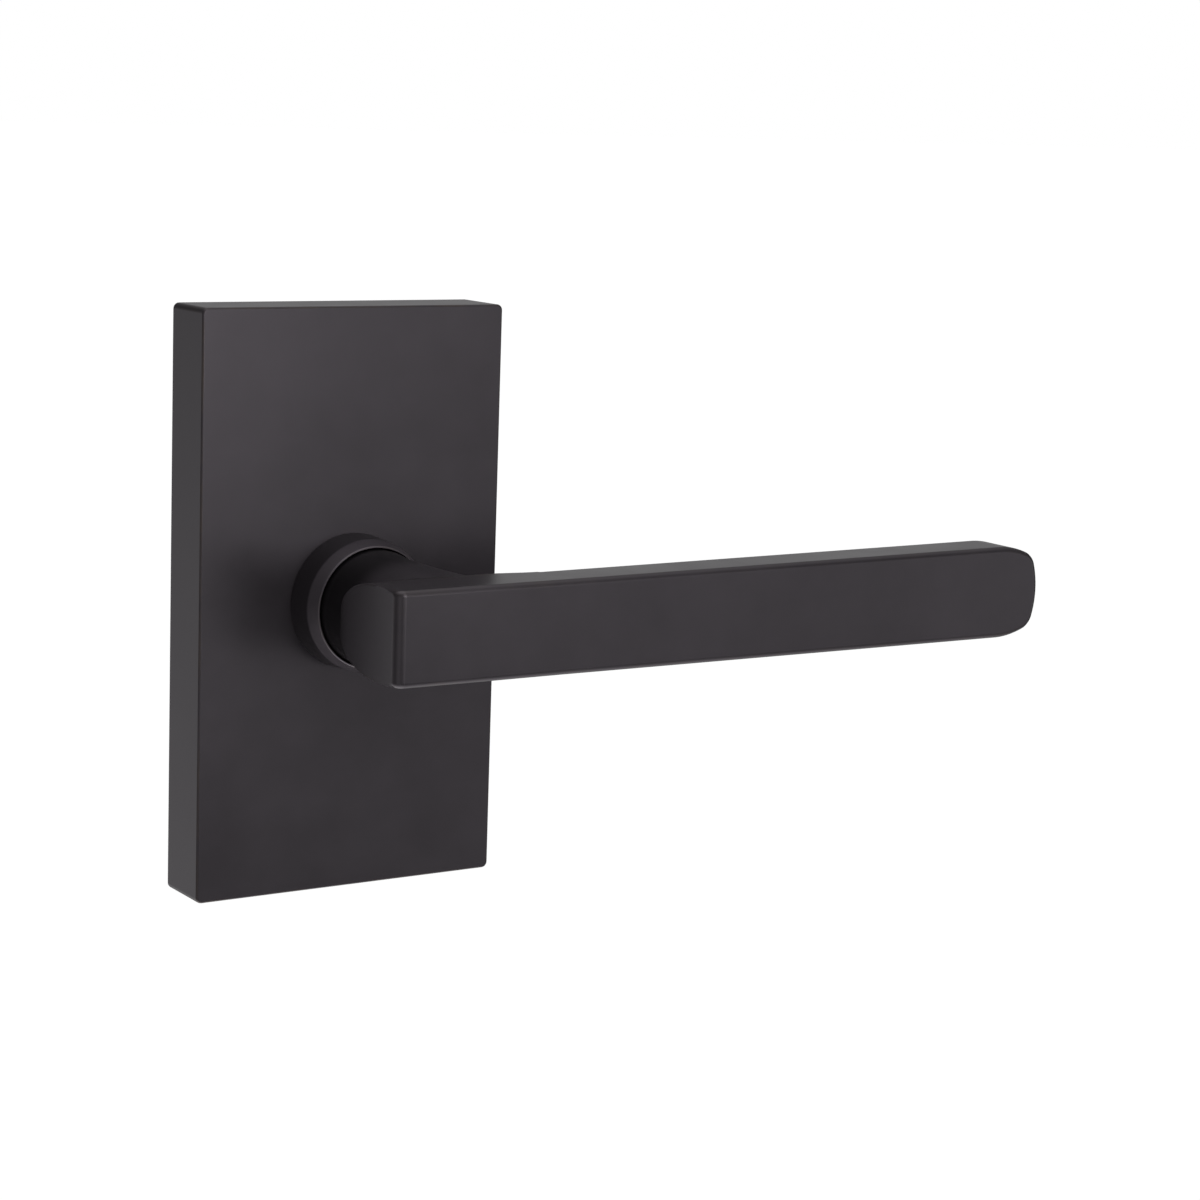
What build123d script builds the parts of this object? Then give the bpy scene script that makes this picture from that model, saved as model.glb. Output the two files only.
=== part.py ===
"""Sprung door lever on a tall rectangular rosette: one side of a door set, millimetres.

Every piece is drawn with z as its distance out from the face of the door, then laid
into the row frame: +X along the lever, -Y out into the room, +Z up.
"""
from build123d import *
from math import cos, radians, sin
import os

os.makedirs("parts", exist_ok=True)

# rosette: a shell with an open back
ROSE_W = 72.0
ROSE_H = 127.0
ROSE_T = 14.5
WALL = 2.5
FACE = 2.6
ROSE_CORNER_R = 1.2
ROSE_EDGE_R = 0.6

# collar that the lever turns in, its nut and its bush
COLLAR_R = 14.8
COLLAR_TOP_R = 14.4
COLLAR_LIP_R = 13.3
COLLAR_SHOULDER_Z = ROSE_T + 7.1
COLLAR_LIP_Z = ROSE_T + 10.2
SPIGOT_R = 13.4
SPIGOT_Z = 8.6
NUT_R = 16.6
NUT_T = 2.4
BUSH_R = 11.5
BUSH_Z = 10.6
SEAT_Z = 16.4

# lever
BAR_H = 20.2
BAR_TIP_H = 21.1
BAR_T = 11.5
BAR_FRONT = 60.5
BAR_LEFT = -14.2
BAR_RIGHT = 154.5
TIP_EASE = 11.0
TIP_DROP = 2.4
TIP_SAG = 1.6
TIP_CORNER_R = 1.8
HEAD_DEPTH = 24.5
HEAD_SIDE = 8.5
HEAD_FLAT = 5.6
HEAD_RIGHT = 10.0
SWEEP = 16.0
EDGE_R = 1.3
END_EDGE_R = 2.2
NECK_R = 12.6
NECK_STRAIGHT_Z = COLLAR_LIP_Z + 1.0
NECK_WAIST = (36.5, 0.4, 12.8, 11.8)
NECK_ROOT = (48.5, 5.0, 18.9, 10.0)
NECK_GAP = 0.3

# lever tube, spindle and the screws that hold them
TUBE_R = 8.5
TUBE_BACK_Z = 8.3
TUBE_FRONT_Z = 38.0
RUNNING = 0.06
SPINDLE = 8.0
SPINDLE_FRONT_Z = 36.0
SPINDLE_BACK_Z = -45.0
SOCKET = 8.12
GRUB_R = 2.0
GRUB_Z = 31.0
SLIP = 0.05

# mounting plate
PLATE_W = 58.0
PLATE_H = 112.0
PLATE_T = 2.0
TAB_W = 20.0
TAB_OUT = 9.5
BOLT_GAP = 38.1
BOLT_R = 2.5
BOLT_SHOULDER_R = 2.65
BOLT_HOLE_R = 2.75
BOLT_HEAD_R = 4.4
BOLT_HEAD_T = 3.2
BOLT_END_Z = -32.0
HOOK_Z = 6.0
RIVET_Y = 19.4
RIVET_R = 1.5

# spring cassette
CASE_R = 14.2
CASE_IN_R = 12.9
CASE_BASE = 0.8
CASE_TOP_Z = 7.4
LID_T = 0.6
EAR_W = 8.0
EAR_Y = 22.6
HUB_R = 8.0
CAM_Z = 6.6
SPRING_R = 9.5
WIRE_R = 0.6
LEG_ANGLE = 14.0
FINGER_HALF = 9.0
STOP_ANGLE = 60.0

OUT = Plane(origin=(0, 0, 0), x_dir=(1, 0, 0), z_dir=(0, -1, 0)).location


def save(name, shape):
    """Lay a piece drawn in door coordinates into the row frame and write it."""
    export_step(OUT * shape, f"parts/{name}.step")


def disc(radius, z0, z1, x=0.0, y=0.0):
    """A round bar standing out from the door between two heights."""
    return Pos(x, y, (z0 + z1) / 2) * Cylinder(radius, z1 - z0)


def ring(outer, inner, z0, z1):
    return disc(outer, z0, z1) - disc(inner, z0 - 1, z1 + 1)


def block(x0, x1, y0, y1, z0, z1):
    return Pos((x0 + x1) / 2, (y0 + y1) / 2, (z0 + z1) / 2) * Box(x1 - x0, y1 - y0, z1 - z0)


def sector(inner, outer, z0, z1, middle, half):
    """A block of a ring, centred on one angle."""
    wide = []
    for turn in (-half, -half / 3, half / 3, half):
        angle = radians(middle + turn)
        wide.append((2 * outer * cos(angle), 2 * outer * sin(angle)))
    wedge = extrude(make_face(Polyline((0, 0), *wide, close=True)), z1 - z0)
    return ring(outer, inner, z0, z1) & (Pos(0, 0, z0) * wedge)


def hexagon_socket(across, depth):
    """A cutter for a hexagon key, its mouth at z = 0 and its floor below."""
    return Pos(0, 0, -depth) * extrude(RegularPolygon(across / 2, 6, major_radius=False), depth + 1)


def upward_screw(radius, y0, y1, z):
    """A headless socket screw driven upwards from below, its mouth at y0."""
    body = Pos(0, 0, -(y1 - y0) / 2) * Cylinder(radius, y1 - y0)
    body = chamfer(body.edges().filter_by(GeomType.CIRCLE), 0.3)
    body -= hexagon_socket(radius, 2.0)
    return Pos(0, y0, z) * Rot(90, 0, 0) * body


def rosette_cover():
    shell = block(-ROSE_W / 2, ROSE_W / 2, -ROSE_H / 2, ROSE_H / 2, 0, ROSE_T)
    shell = fillet(shell.edges().filter_by(Axis.Z), ROSE_CORNER_R)
    shell = fillet(shell.faces().sort_by(Axis.Z)[-1].edges(), ROSE_EDGE_R)
    in_w, in_h = ROSE_W / 2 - WALL, ROSE_H / 2 - WALL
    shell -= block(-in_w, in_w, -in_h, in_h, -1, ROSE_T - FACE)
    shell -= disc(SPIGOT_R + SLIP, 0, ROSE_T + 1)
    # a hook at the top drops through the slot of the plate's upper tab
    shell += block(-4, 4, PLATE_H / 2 - 3.2, in_h, HOOK_Z - 1, HOOK_Z + 1)
    # a boss at the foot carries the screw that draws the cover down
    shell += block(-5, 5, -in_h, -PLATE_H / 2 - 1.5, HOOK_Z - 3.6, HOOK_Z + 3.6)
    return shell - grub_hole(-PLATE_H / 2 - 1, HOOK_Z)


def rosette_collar():
    outline = Polyline(
        (BUSH_R, SPIGOT_Z),
        (SPIGOT_R, SPIGOT_Z),
        (SPIGOT_R, ROSE_T),
        (COLLAR_R, ROSE_T),
        (COLLAR_TOP_R, COLLAR_SHOULDER_Z),
        (COLLAR_LIP_R, COLLAR_LIP_Z),
        (NECK_R + NECK_GAP, COLLAR_LIP_Z),
        (NECK_R + NECK_GAP, SEAT_Z),
        (BUSH_R, SEAT_Z),
        close=True,
    )
    return revolve(make_face(Plane.XZ * outline), Axis.Z)


def collar_nut():
    top = ROSE_T - FACE
    nut = ring(NUT_R, SPIGOT_R + SLIP, top - NUT_T, top)
    for turn in range(4):
        notch = Rot(0, 0, 90 * turn + 45) * block(NUT_R - 1.2, NUT_R + 1, -1.5, 1.5, 0, top + 1)
        nut -= notch
    return nut


def lever_handle():
    mid, back, half = BAR_FRONT - BAR_T, BAR_FRONT - HEAD_DEPTH, BAR_H / 2
    head_end = HEAD_RIGHT + SWEEP
    # seen from above: a straight bar, with a head that sweeps back to the neck
    plan = Polyline(
        (HEAD_RIGHT, back), (BAR_LEFT, back), (BAR_LEFT, BAR_FRONT), (BAR_RIGHT, BAR_FRONT),
        (BAR_RIGHT, mid), (head_end, mid),
    ) + Spline((head_end, mid), (HEAD_RIGHT, back), tangents=[(-1, 0), (-0.6, -1)])
    bar = extrude(Plane.XZ * make_face(plan), BAR_H, both=True)
    # seen from the end: flat front, and a head whose back corners are well rounded
    head = loft([end_section(BAR_LEFT, half, HEAD_SIDE), end_section(head_end, half, BAR_T)])
    bar &= head + block(head_end - 1, BAR_RIGHT, -BAR_H, BAR_H, mid, BAR_FRONT)
    bar &= extrude(bar_elevation(), BAR_FRONT + 1)
    bar = fillet(bar.faces().sort_by(Axis.Z)[-1].edges().sort_by(Axis.X)[0], END_EDGE_R)
    bar = fillet(bar.faces().sort_by(Axis.Z)[-1].edges().sort_by(Axis.X)[1:], EDGE_R)
    neck = disc(NECK_R, SEAT_Z + 1.0, NECK_STRAIGHT_Z)
    stations = [(NECK_STRAIGHT_Z, 0, NECK_R, NECK_R), NECK_WAIST, NECK_ROOT]
    neck += loft([Pos(x, 0, z) * Ellipse(wide, high) for z, x, wide, high in stations])
    body = bar + neck
    body -= disc(TUBE_R, 0, TUBE_FRONT_Z + 0.1)
    return body - grub_hole(0, GRUB_Z)


def end_section(x, half, side):
    """The head seen from its end: straight sides, a flat back and well rounded corners."""
    start, flat = BAR_FRONT - side, HEAD_FLAT / 2
    wide, deep = half - flat, HEAD_DEPTH - side
    outline = Polyline((-half, start), (-half, BAR_FRONT), (half, BAR_FRONT), (half, start))
    outline += EllipticalCenterArc((-flat, start), wide, deep, start_angle=180, arc_size=90)
    outline += Line((-flat, start - deep), (flat, start - deep))
    outline += EllipticalCenterArc((flat, start), wide, deep, start_angle=270, arc_size=90)
    return Plane.YZ.offset(x) * make_face(outline)


def bar_elevation():
    """The bar seen from the front: it widens a little, then eases in to a shallow arc at the tip."""
    half, wide, low = BAR_H / 2, BAR_TIP_H / 2, BAR_TIP_H / 2 - TIP_DROP
    ease, corner = BAR_RIGHT - TIP_EASE, BAR_RIGHT - TIP_SAG
    via_x, via_y = ease + 0.52 * (corner - ease), wide - 0.26 * TIP_DROP
    upper = ThreePointArc((ease, wide), (via_x, via_y), (corner, low))
    lower = ThreePointArc((corner, -low), (via_x, -via_y), (ease, -wide))
    end = ThreePointArc((corner, low), (BAR_RIGHT, 0), (corner, -low))
    rest = Polyline(
        (ease, -wide), (HEAD_RIGHT + SWEEP, -half), (BAR_LEFT, -half),
        (BAR_LEFT, half), (HEAD_RIGHT + SWEEP, half), (ease, wide),
    )
    outline = make_face(upper + end + lower + rest)
    return fillet(outline.vertices().sort_by(Axis.X)[-2:], TIP_CORNER_R)


def grub_hole(y, z):
    """A cutter for a headless screw's hole, from below the axis up to height y."""
    return Pos(0, y - 15, z) * Rot(90, 0, 0) * Cylinder(GRUB_R + SLIP, 30)


def lever_tube():
    tube = disc(TUBE_R, TUBE_BACK_Z, TUBE_FRONT_Z)
    tube -= ring(TUBE_R + 1, TUBE_R - 0.6, 8.95, 9.95)
    tube -= block(-SOCKET / 2, SOCKET / 2, -SOCKET / 2, SOCKET / 2, 0, 40)
    return tube - grub_hole(0, GRUB_Z)


def spindle():
    long = SPINDLE_FRONT_Z - SPINDLE_BACK_Z
    bar = Pos(0, 0, (SPINDLE_FRONT_Z + SPINDLE_BACK_Z) / 2) * Box(SPINDLE, SPINDLE, long)
    bar = chamfer(bar.edges().filter_by(Axis.Z), 0.5)
    ends = bar.faces().filter_by(Axis.Z)
    return chamfer(ends.edges(), 0.6)


def retaining_ring():
    clip = ring(TUBE_R + 2.4, TUBE_R - 0.55, 9.0, 9.9)
    return clip - block(-2.2, 2.2, 0, 20, 8, 11)


def mounting_plate():
    plate = block(-PLATE_W / 2, PLATE_W / 2, -PLATE_H / 2, PLATE_H / 2, 0, PLATE_T)
    plate = fillet(plate.edges().filter_by(Axis.Z), 6.0)
    for side in (-1, 1):
        edge = side * PLATE_H / 2
        inner = edge - side * PLATE_T
        low, high = min(edge, inner), max(edge, inner)
        plate += block(-TAB_W / 2, TAB_W / 2, low, high, PLATE_T, TAB_OUT)
        plate -= disc(BOLT_HOLE_R, -1, 5, x=side * BOLT_GAP / 2)
        plate -= disc(RIVET_R + SLIP, -1, 5, y=side * RIVET_Y)
    plate -= block(-4.4, 4.4, PLATE_H / 2 - 4, PLATE_H / 2 + 1, HOOK_Z - 1.3, HOOK_Z + 1.3)
    return plate - disc(6.5, -1, 5)


def spring_housing():
    base = PLATE_T + CASE_BASE
    ear = block(-EAR_W / 2, EAR_W / 2, -EAR_Y, EAR_Y, PLATE_T, CASE_TOP_Z)
    case = disc(CASE_R, PLATE_T, CASE_TOP_Z) + fillet(ear.edges().filter_by(Axis.Z), 2.5)
    case -= disc(CASE_IN_R, base, CASE_TOP_Z + 1)
    case -= disc(HUB_R + RUNNING, 0, 10)
    case += sector(11.9, CASE_IN_R + 0.5, PLATE_T, CASE_TOP_Z, 90, FINGER_HALF)
    for side in (-1, 1):
        middle = 270 + side * (STOP_ANGLE + 4)
        case += sector(10.6, CASE_IN_R + 0.5, PLATE_T, CASE_TOP_Z, middle, 4)
        case -= disc(RIVET_R + SLIP, 0, 10, y=side * RIVET_Y)
    return case


def housing_lid():
    ear = block(-EAR_W / 2, EAR_W / 2, -EAR_Y, EAR_Y, CASE_TOP_Z, CASE_TOP_Z + LID_T)
    lid = disc(CASE_R, CASE_TOP_Z, CASE_TOP_Z + LID_T) + fillet(ear.edges().filter_by(Axis.Z), 2.5)
    lid -= disc(HUB_R + RUNNING, 0, 10)
    for side in (-1, 1):
        lid -= disc(RIVET_R + SLIP, 0, 10, y=side * RIVET_Y)
    return lid


def drive_cam():
    top = CASE_TOP_Z + LID_T - 0.05
    cam = disc(HUB_R, PLATE_T + 0.1, top)
    cam += sector(HUB_R - 1, 11.6, CAM_Z, CASE_TOP_Z - 0.1, 90, FINGER_HALF)
    cam += sector(10.6, 11.6, PLATE_T + CASE_BASE + 0.2, CASE_TOP_Z - 0.1, 90, FINGER_HALF)
    cam += sector(HUB_R - 1, 12.5, CAM_Z, CASE_TOP_Z - 0.1, 270, 12)
    return cam - block(-SOCKET / 2, SOCKET / 2, -SOCKET / 2, SOCKET / 2, 0, 10)


def return_spring():
    sweep_angle = 720 - 2 * LEG_ANGLE
    start_z, pitch = PLATE_T + CASE_BASE + 0.7, 1.25
    rise = pitch * sweep_angle / 360
    path = Helix(pitch, rise, SPRING_R)
    coil = sweep(Plane(path @ 0, z_dir=path % 0) * Circle(WIRE_R), path=path, is_frenet=True)
    spring = Rot(0, 0, 90 + LEG_ANGLE) * coil
    for angle, z in ((90 + LEG_ANGLE, 0.0), (90 - LEG_ANGLE, rise)):
        leg = Pos(SPRING_R + 1.4, 0, z) * Rot(0, 90, 0) * Cylinder(WIRE_R, 2.8)
        knee = Pos(SPRING_R, 0, z) * Sphere(WIRE_R)
        spring += Rot(0, 0, angle) * (leg + knee)
    return Pos(0, 0, start_z) * spring


def through_bolts():
    pair = []
    for side in (-1, 1):
        head = disc(BOLT_HEAD_R, PLATE_T, PLATE_T + BOLT_HEAD_T)
        head = fillet(head.edges().sort_by(Axis.Z)[-1], 1.0)
        cross = block(-0.5, 0.5, -2.4, 2.4, PLATE_T + 1.4, 9) + block(-2.4, 2.4, -0.5, 0.5, PLATE_T + 1.4, 9)
        shank = disc(BOLT_SHOULDER_R, 0, PLATE_T) + disc(BOLT_R, BOLT_END_Z, 0)
        bolt = (head - cross) + shank
        bolt = chamfer(bolt.edges().sort_by(Axis.Z)[0], 0.6)
        pair.append(Pos(side * BOLT_GAP / 2, 0, 0) * bolt)
    return Compound(pair)


def housing_rivets():
    pair = []
    top = CASE_TOP_Z + LID_T
    for side in (-1, 1):
        head = disc(2.4, top, top + 1.0)
        head = fillet(head.edges().sort_by(Axis.Z)[-1], 0.6)
        pair.append(Pos(0, side * RIVET_Y, 0) * (head + disc(RIVET_R, 0.2, top)))
    return Compound(pair)


save("rosette_cover", rosette_cover())
save("rosette_collar", rosette_collar())
save("collar_nut", collar_nut())
save("collar_bush", ring(BUSH_R, TUBE_R + RUNNING, BUSH_Z, SEAT_Z))
save("mounting_plate", mounting_plate())
save("spring_housing", spring_housing())
save("housing_lid", housing_lid())
save("housing_rivets", housing_rivets())
save("through_bolts", through_bolts())
save("cover_screw", upward_screw(GRUB_R, -ROSE_H / 2 + 0.3, -PLATE_H / 2 - 0.05, HOOK_Z))
save("lever_handle", lever_handle())
save("lever_tube", lever_tube())
save("lever_screw", upward_screw(GRUB_R, -11.4, -SPINDLE / 2 - 0.02, GRUB_Z))
save("spindle", spindle())
save("drive_cam", drive_cam())
save("return_spring", return_spring())
save("retaining_ring", retaining_ring())
save("shim_washer", ring(11.1, TUBE_R + 0.2, 10.0, 10.5))
save("thrust_washer", ring(12.3, TUBE_R + 0.3, SEAT_Z + 0.05, SEAT_Z + 0.95))
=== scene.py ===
from math import cos, hypot, pi, radians, sin

import bmesh
import bpy
from bpy.props import FloatProperty, FloatVectorProperty, PointerProperty
from mathutils import Matrix, Vector


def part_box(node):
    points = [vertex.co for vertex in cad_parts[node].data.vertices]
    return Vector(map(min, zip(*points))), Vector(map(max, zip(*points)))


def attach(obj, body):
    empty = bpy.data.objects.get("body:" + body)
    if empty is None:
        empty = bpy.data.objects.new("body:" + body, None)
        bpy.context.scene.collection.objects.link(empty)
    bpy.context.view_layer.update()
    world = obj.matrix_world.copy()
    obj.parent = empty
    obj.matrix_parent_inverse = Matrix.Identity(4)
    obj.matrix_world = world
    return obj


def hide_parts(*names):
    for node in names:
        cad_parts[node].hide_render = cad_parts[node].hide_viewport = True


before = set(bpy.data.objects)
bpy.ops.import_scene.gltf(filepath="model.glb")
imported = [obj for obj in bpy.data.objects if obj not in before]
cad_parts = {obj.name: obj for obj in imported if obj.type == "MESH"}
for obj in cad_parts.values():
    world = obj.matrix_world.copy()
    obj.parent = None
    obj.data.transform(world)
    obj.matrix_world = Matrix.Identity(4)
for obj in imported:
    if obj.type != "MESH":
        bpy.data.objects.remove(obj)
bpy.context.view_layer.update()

bl_info = {
    "name": "Sprung door lever",
    "version": (1, 0, 0),
    "blender": (4, 5, 0),
    "location": "3D View > Sidebar > Door lever",
    "description": "Builds the visible pieces of a sprung door lever on its rosette",
    "category": "Add Mesh",
}

COVER_LOW, COVER_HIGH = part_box("rosette_cover")
COLLAR_LOW, COLLAR_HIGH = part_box("rosette_collar")
LEVER_LOW, LEVER_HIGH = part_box("lever_handle")
BOLTS_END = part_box("through_bolts")[1].y
ROSETTE_FACE = -COVER_LOW.y


def length(name, about, default):
    """A property that holds a size in metres."""
    return FloatProperty(name=name, description=about, default=default, unit="LENGTH", precision=5)


def colour(name, about, default):
    """A property that holds a colour."""
    return FloatVectorProperty(
        name=name, description=about, default=default, subtype="COLOR", size=3, min=0, max=1
    )


def tilt(name, about, degrees):
    """A property that holds an angle, given in degrees."""
    return FloatProperty(name=name, description=about, default=radians(degrees), unit="ROTATION")


# ---------------------------------------------------------------- sizes and colours


class RosetteSizes(bpy.types.PropertyGroup):
    wall: length("Wall", "Thickness of the cover's four sides", 0.0025)
    face: length("Face", "Thickness of the cover's front", 0.0026)
    corner: length("Corner", "Radius of the four corners seen from the front", 0.0013)
    edge: length("Edge", "Radius of the front edges", 0.0005)
    hole: length("Hole", "Radius of the hole for the collar", 0.01345)
    hook_out: length("Hook height", "How far out from the door the hook and the screw sit", 0.006)
    screw: length("Screw hole", "Radius of the hole in the lower edge", 0.00205)


class CollarSizes(bpy.types.PropertyGroup):
    foot: length("Foot", "Radius where the collar meets the cover", 0.0148)
    shoulder: length("Shoulder", "Radius at the foot of the bevelled lip", 0.0144)
    lip: length("Lip", "Radius at the top of the bevelled lip", 0.0133)
    shoulder_out: length("Shoulder height", "How far the shoulder stands out from the door", 0.0216)
    bore: length("Bore", "Radius of the recess that the neck turns in", 0.0129)
    seat_out: length("Seat height", "Floor of the recess, out from the door", 0.0164)
    spigot: length("Spigot", "Radius of the part that passes through the cover", 0.0134)
    bush: length("Bush bore", "Radius that the bush is pressed in", 0.0115)
    rounding: length("Rounding", "Radius worked on the turned edges", 0.0003)


class LeverSizes(bpy.types.PropertyGroup):
    height: length("Height", "Height of the bar at the neck", 0.0202)
    tip_height: length("Tip height", "Height of the bar where the tip starts to ease in", 0.0211)
    thickness: length("Thickness", "Thickness of the bar", 0.0115)
    head_depth: length("Head depth", "Depth of the bulging head behind the bar's face", 0.0245)
    head_side: length("Head side", "Depth of the head's flat top and bottom at its end", 0.0085)
    head_flat: length("Head flat", "Height of the flat at the back of the head", 0.0056)
    head_right: length("Head end", "Where the head starts to sweep in to the bar", 0.010)
    sweep: length("Sweep", "Length of the hollow sweep behind the bar", 0.016)
    tip_ease: length("Tip ease", "Length over which the tip eases in", 0.011)
    tip_drop: length("Tip drop", "How far each side eases in at the tip", 0.0024)
    tip_sag: length("Tip bow", "How far the end of the tip bows out", 0.0016)
    tip_corner: length("Tip corner", "Radius of the two corners at the tip", 0.0034)
    edge: length("Edge", "Radius of the long front edges", 0.0013)
    end_edge: length("End edge", "Radius of the front edge at the head", 0.0022)
    back_edge: length("Back edge", "Radius of the other edges", 0.0005)
    neck: length("Neck", "Radius of the neck in the collar", 0.0126)
    neck_back: length("Neck back", "Where the neck starts, out from the door", 0.0174)
    tube: length("Tube bore", "Radius of the bore for the steel tube", 0.0085)
    tube_front: length("Tube front", "Depth of that bore, out from the door", 0.0381)
    screw: length("Screw hole", "Radius of the hole under the neck", 0.00205)
    screw_out: length("Screw height", "Place of that hole, out from the door", 0.031)


class BoltSizes(bpy.types.PropertyGroup):
    spacing: length("Spacing", "Distance between the two bolts", 0.0381)
    radius: length("Thread", "Outside radius of the thread", 0.0025)
    pitch: length("Pitch", "Pitch of the thread", 0.0008)
    head: length("Head", "Radius of the head", 0.0044)
    head_height: length("Head height", "Height of the head", 0.0032)
    shank: length("Shank", "Radius of the plain shank under the head", 0.00265)
    plate: length("Plate", "Thickness of the plate under the heads", 0.002)


class FinishColours(bpy.types.PropertyGroup):
    lacquer: colour("Lacquer", "Charcoal lacquer over the metal", (0.0695, 0.0612, 0.0700))
    lacquer_warm: colour("Rubbed lacquer", "Lacquer rubbed thin on an edge", (0.105, 0.085, 0.074))
    zinc: colour("Zinc plate", "Bright zinc plating on steel", (0.60, 0.61, 0.60))
    zinc_tint: colour("Zinc tint", "Straw tint in the plating", (0.64, 0.60, 0.48))
    steel: colour("Steel", "Drawn steel", (0.47, 0.47, 0.48))
    spring: colour("Spring steel", "Oiled spring steel", (0.16, 0.165, 0.18))
    oxide: colour("Black oxide", "Blackened screws", (0.035, 0.034, 0.036))
    casting: colour("Casting", "Bare zinc casting", (0.42, 0.42, 0.43))
    nylon: colour("Nylon", "Natural nylon", (0.78, 0.76, 0.70))
    floor: colour("Floor", "Pale studio floor", (0.93, 0.93, 0.93))


class StageSettings(bpy.types.PropertyGroup):
    azimuth: tilt("Azimuth", "Camera's bearing round the lever", -33)
    elevation: tilt("Elevation", "Camera's height above level", 9.7)
    roll: tilt("Roll", "Camera's tilt", 1.96)
    distance: length("Distance", "From the camera to the point it looks at", 0.658)
    aim: FloatVectorProperty(
        name="Aim",
        description="The point in the middle of the view",
        default=(0.05157, -0.03351, -0.00012),
        unit="LENGTH",
        precision=5,
    )
    lens: FloatProperty(name="Lens", description="Focal length in millimetres", default=89.7, min=10)
    floor_drop: length("Floor drop", "Gap between the rosette and the floor", 0.11)


# ---------------------------------------------------------------- modelling helpers


def only(obj):
    """Leave object mode's selection with one piece, and make it the active one."""
    if bpy.context.object and bpy.context.object.mode != "OBJECT":
        bpy.ops.object.mode_set(mode="OBJECT")
    bpy.ops.object.select_all(action="DESELECT")
    obj.select_set(True)
    bpy.context.view_layer.objects.active = obj


def name_new(name, scale=(1, 1, 1)):
    """Name the primitive just added, stretch it, and move its place and size into its mesh."""
    obj = bpy.context.object
    obj.name = obj.data.name = name
    obj.scale = scale
    only(obj)
    bpy.ops.object.transform_apply(location=True, rotation=True, scale=True)
    return obj


def add_block(name, low, high):
    """A plain block between two opposite corners."""
    bpy.ops.object.select_all(action="DESELECT")
    low, high = Vector(low), Vector(high)
    bpy.ops.mesh.primitive_cube_add(size=1, location=(low + high) / 2)
    return name_new(name, high - low)


def add_rod(name, radius, start, end, sides=64):
    """A plain rod between two points."""
    bpy.ops.object.select_all(action="DESELECT")
    start, end = Vector(start), Vector(end)
    turn = (end - start).to_track_quat("Z", "Y").to_euler()
    bpy.ops.mesh.primitive_cylinder_add(
        vertices=sides, radius=radius, depth=(end - start).length, location=(start + end) / 2, rotation=turn
    )
    return name_new(name)


def edit(obj):
    """Go into edit mode on one piece."""
    only(obj)
    bpy.ops.object.mode_set(mode="EDIT")


def done():
    """Go back to object mode."""
    bpy.ops.object.mode_set(mode="OBJECT")


def pick(obj, kind, test):
    """In edit mode, select the vertices, edges or faces that pass a test, and nothing else."""
    bpy.ops.mesh.select_mode(type=kind)
    bpy.ops.mesh.select_all(action="DESELECT")
    mesh = bmesh.from_edit_mesh(obj.data)
    for item in {"VERT": mesh.verts, "EDGE": mesh.edges, "FACE": mesh.faces}[kind]:
        if test(item):
            item.select_set(True)
    bmesh.update_edit_mesh(obj.data)


def middle(edge):
    """The point halfway along an edge."""
    return (edge.verts[0].co + edge.verts[1].co) / 2


def near(a, b):
    """Whether two places on one axis are the same, to a fiftieth of a millimetre."""
    return abs(a - b) < 2e-5


def turned(name, outline, sides=128, closed=True):
    """A piece of rings drawn out one after another along the lever's turning axis.

    The outline runs through (radius, out from the door) points. A point may also give its
    height and its shift along the lever, for a section that isn't round.
    """
    sections = [(p + (p[0], 0.0))[:4] if len(p) == 2 else p for p in outline]
    wide, out, high, shift = sections[0]
    bpy.ops.object.select_all(action="DESELECT")
    bpy.ops.mesh.primitive_circle_add(
        vertices=sides, radius=1, location=(shift, -out, 0), rotation=(pi / 2, 0, 0)
    )
    obj = name_new(name, (wide, high, 1))
    edit(obj)
    bpy.ops.mesh.select_all(action="SELECT")
    for last, this in zip(sections, sections[1:]):
        step = Vector((this[3] - last[3], last[1] - this[1], 0))
        bpy.ops.mesh.extrude_region_move(TRANSFORM_OT_translate={"value": step})
        bpy.ops.transform.resize(
            value=(this[0] / last[0], 1, this[2] / last[2]), center_override=(this[3], -this[1], 0)
        )
    bpy.ops.mesh.select_all(action="SELECT")
    if closed:
        bpy.ops.mesh.remove_doubles(threshold=1e-6)
    else:
        bpy.ops.mesh.select_non_manifold(extend=False)
        bpy.ops.mesh.edge_face_add()
        pick(obj, "EDGE", lambda e: e.is_boundary)
        bpy.ops.mesh.edge_face_add()
        bpy.ops.mesh.select_all(action="SELECT")
    bpy.ops.mesh.normals_make_consistent(inside=False)
    done()
    return obj


def carve(obj, cutter, how="DIFFERENCE"):
    """Cut one piece with another, or weld it on, and remove the tool."""
    only(obj)
    work = obj.modifiers.new(how.title(), "BOOLEAN")
    work.operation, work.solver, work.object = how, "EXACT", cutter
    bpy.ops.object.modifier_apply(modifier=work.name)
    bpy.data.objects.remove(cutter)


def soften(obj, width):
    """Round every sharp edge a little."""
    only(obj)
    work = obj.modifiers.new("Rounding", "BEVEL")
    work.width, work.segments, work.limit_method = width, 2, "ANGLE"
    work.angle_limit, work.use_clamp_overlap, work.miter_outer = radians(35), True, "MITER_ARC"
    bpy.ops.object.modifier_apply(modifier=work.name)


def shade(obj, angle=30):
    """Smooth the curved faces, and keep the flat ones flat."""
    only(obj)
    bpy.ops.object.shade_smooth_by_angle(angle=radians(angle))
    work = obj.modifiers.new("Flat faces", "WEIGHTED_NORMAL")
    work.keep_sharp, work.weight, work.mode = True, 100, "FACE_AREA"
    bpy.ops.object.modifier_apply(modifier=work.name)


def fit(obj, body, slot, finish, *nodes):
    """Give a piece its finish, its body and the CAD nodes that it stands for."""
    obj.data.materials.clear()
    obj.data.materials.append(finish)
    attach(obj, body)
    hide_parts(*nodes)


BROAD = 0.0015  # a face is broad when its area is more than this times its longest edge
RUB_FROM, RUB_OVER = radians(9), radians(14)  # the turn where rubbing starts, and how much more is full


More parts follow.
